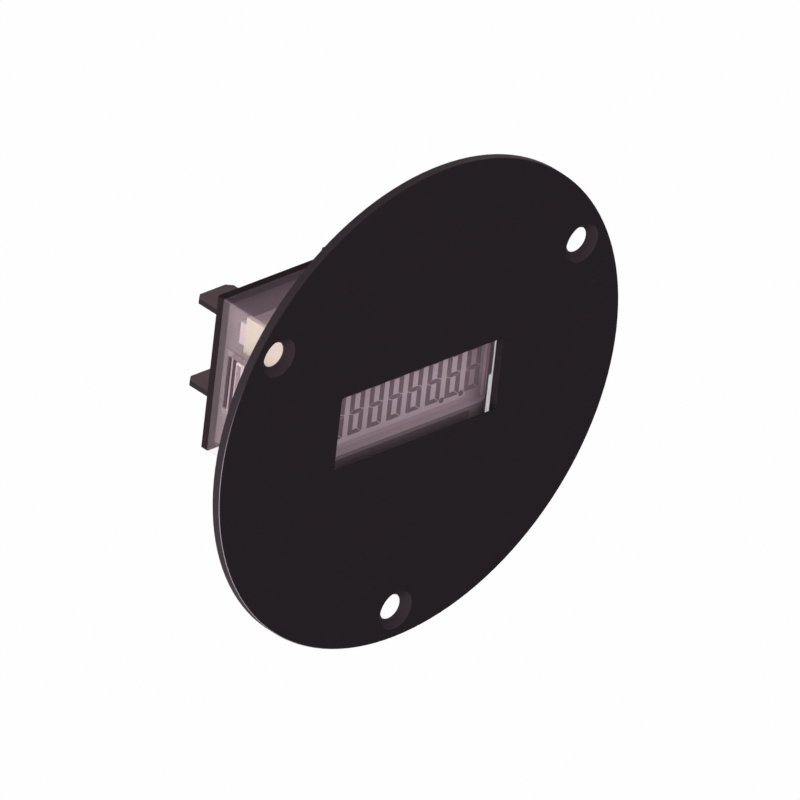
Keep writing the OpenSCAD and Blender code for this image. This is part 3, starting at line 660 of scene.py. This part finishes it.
flange_black = flange_finish()
cover_black = cover_finish()
blade_metal = drawn_metal("blade_metal", rgb(0.036, 0.0285, 0.031), roughness=0.45)
blade_metal.set(Specular_Tint=rgb(0.55, 0.5, 0.5))
can_metal = drawn_metal("can_metal", rgb(0.55, 0.54, 0.53), roughness=0.3, line_width=0.2)
carrier_cream = moulded("carrier_cream", rgb(0.81, 0.72, 0.54), roughness=0.45, grain=0.35, depth=0.01,
                        specular=0.2, contrast=0.04)[0]
grommet_white = moulded("grommet_white", rgb(0.735, 0.61, 0.65), roughness=0.6, grain=0.25, depth=0.01,
                        specular=0.25, contrast=0.05)[0]
suppressor_lacquer = moulded("suppressor_lacquer", rgb(0.03, 0.075, 0.19), roughness=0.3, grain=0.6,
                             depth=0.03, specular=0.5, contrast=0.2)[0]

dress(flange_black, "flange_plate")
dress(case_finish(), "case_body")
dress(cover_black, "rear_cover")
dress(blade_metal, *at_corners("terminal"))
dress(carrier_cream, *at_corners("carrier"))
dress(grommet_white, *at_corners("grommet"))
dress(film_finish("polariser_film", rgb(0.2, 0.15, 0.175), 0.06, 0.45), "front_polariser")
dress(film_finish("display_glass", rgb(0.6, 0.5, 0.55), 0.012, 0.12), "front_glass", "rear_glass")
segment_dark = segment_finish()
dress(segment_dark, "lcd_segments")
dress(film_finish("seal_grey", rgb(0.4, 0.32, 0.36), 0.015, 0.5), "cell_seal")
dress(reflector_finish(), "reflector")
dress(contact_finish(), "contact_strip_upper", "contact_strip_lower")
dress(tray_finish(), "display_tray")
dress(board_finish(), "circuit_board")
dress(tinned_chip("processor_epoxy", rgb(0.02, 0.02, 0.022), "processor", (2.52, 2.52)), "processor")
dress(tinned_chip("memory_epoxy", rgb(0.022, 0.021, 0.023), "memory_chip", (1.97, 2.3)), "memory_chip")
dress(tinned_chip("rectifier_epoxy", rgb(0.025, 0.024, 0.025), "bridge_rectifier", (2.47, 2.3)),
      "bridge_rectifier")
dress(can_metal, "quartz_crystal")
dress(capacitor_finish(), "smoothing_capacitor")
dress(suppressor_lacquer, "surge_suppressor")
dress(end_capped("resistor_dark", rgb(0.015, 0.015, 0.018)), "chip_resistors")
dress(end_capped("ceramic_tan", rgb(0.36, 0.25, 0.14)), "chip_capacitors")

segment_film(segment_dark.material)
solder_fillets(can_metal.material)
ejector_marks(flange_black.material)
gate_mark(cover_black.material)


def seen_by_eye(wiring):
    """One for rays from the camera, from glossy surfaces and through clear ones; nothing for plain light."""
    path = wiring.node("ShaderNodeLightPath").outputs
    seen = wiring.math("MAXIMUM", path["Is Glossy Ray"], path["Is Transmission Ray"])
    return wiring.math("MAXIMUM", seen, path["Is Camera Ray"])


def studio_world(fill):
    """Even white surroundings: full white to the eye, a weaker fill as light on the meter."""
    world = bpy.data.worlds.new("studio")
    world.use_nodes = True
    wiring = Wiring(world.node_tree)
    world.node_tree.nodes.clear()
    strength = wiring.pick(fill, seen_by_eye(wiring), 1.0)
    background = wiring.node("ShaderNodeBackground", {"Color": rgb(1.0, 1.0, 1.0), "Strength": strength})
    output = wiring.node("ShaderNodeOutputWorld")
    world.node_tree.links.new(background.outputs[0], output.inputs["Surface"])
    bpy.context.scene.world = world


def studio_floor(level, half):
    """Pale floor well below the held meter, in metres: white to the eye, darker where its shadow falls."""
    ends = np.array([-half, half])
    x, y = (a.ravel() for a in np.meshgrid(ends, ends, indexing="ij"))
    mesh = bpy.data.meshes.new("floor")
    mesh.from_pydata(np.stack([x, y, np.full(4, level)], axis=1), [], [[0, 2, 3, 1]])
    mesh.update()
    material = bpy.data.materials.new("floor_white")
    material.use_nodes = True
    wiring = Wiring(material.node_tree)
    wiring.tree.nodes.clear()
    paper = wiring.node("ShaderNodeBsdfDiffuse", {"Color": rgb(0.9, 0.9, 0.9)})
    glow = wiring.node("ShaderNodeEmission", {"Color": rgb(1.0, 1.0, 1.0), "Strength": 1.0})
    share = wiring.math("MULTIPLY", seen_by_eye(wiring), 0.97)
    both = wiring.node("ShaderNodeMixShader", {0: share, 1: paper.outputs[0], 2: glow.outputs[0]})
    output = wiring.node("ShaderNodeOutputMaterial")
    wiring.tree.links.new(both.outputs[0], output.inputs["Surface"])
    mesh.materials.append(material)
    floor = bpy.data.objects.new("floor", mesh)
    bpy.context.scene.collection.objects.link(floor)


def softbox(name, place, aim, size, power):
    """Square white area lamp at place, turned to aim, in metres and watts."""
    lamp = bpy.data.lights.new(name, "AREA")
    lamp.size = size
    lamp.energy = power
    box = bpy.data.objects.new(name, lamp)
    box.location = place
    box.rotation_euler = (Vector(aim) - Vector(place)).to_track_quat("-Z", "Y").to_euler()
    bpy.context.scene.collection.objects.link(box)


def photo_camera():
    """Parallel camera of the photograph: looks along ahead, turned by roll, centred by the plate's place."""
    azimuth, elevation, roll = (math.radians(turn) for turn in CAMERA_TURNS)
    ahead = Vector((-math.sin(azimuth) * math.cos(elevation), math.cos(azimuth) * math.cos(elevation),
                    -math.sin(elevation)))
    level = ahead.cross(Vector((0.0, 0.0, 1.0))).normalized()
    down = ahead.cross(level)
    right = math.cos(roll) * level + math.sin(roll) * down
    under = -math.sin(roll) * level + math.cos(roll) * down
    plate_centre = Vector((0.0, -PLATE_T * MM, 0.0))
    to_right, to_under = (pixels / CAMERA_SCALE * MM for pixels in PLATE_OFF_MIDDLE)
    centre = plate_centre - right * to_right - under * to_under
    lens = bpy.data.cameras.new("photo_camera")
    lens.type = "ORTHO"
    lens.ortho_scale = PICTURE_WIDTH / CAMERA_SCALE * MM
    lens.clip_start, lens.clip_end = 0.01, 20.0
    camera = bpy.data.objects.new("photo_camera", lens)
    turn = Matrix((right, -under, -ahead)).transposed()
    camera.matrix_world = Matrix.Translation(centre - ahead * 0.5) @ turn.to_4x4()
    bpy.context.scene.collection.objects.link(camera)
    bpy.context.scene.camera = camera


photo_camera()
studio_world(fill=0.24)
studio_floor(level=-0.3, half=4.0)
softbox("left_softbox", place=(-0.63, -0.01, 0.03), aim=(0.0, 0.008, 0.0), size=0.45, power=3.9)
softbox("front_softbox", place=(0.1, -0.53, 0.4), aim=(0.0, 0.0, 0.0), size=0.6, power=2.15)
softbox("back_softbox", place=(0.38, 0.6, 0.28), aim=(0.0, 0.01, 0.0), size=0.5, power=2.2)
bpy.context.scene.view_settings.view_transform = "Standard"
bpy.context.scene.cycles.transparent_max_bounces = 32
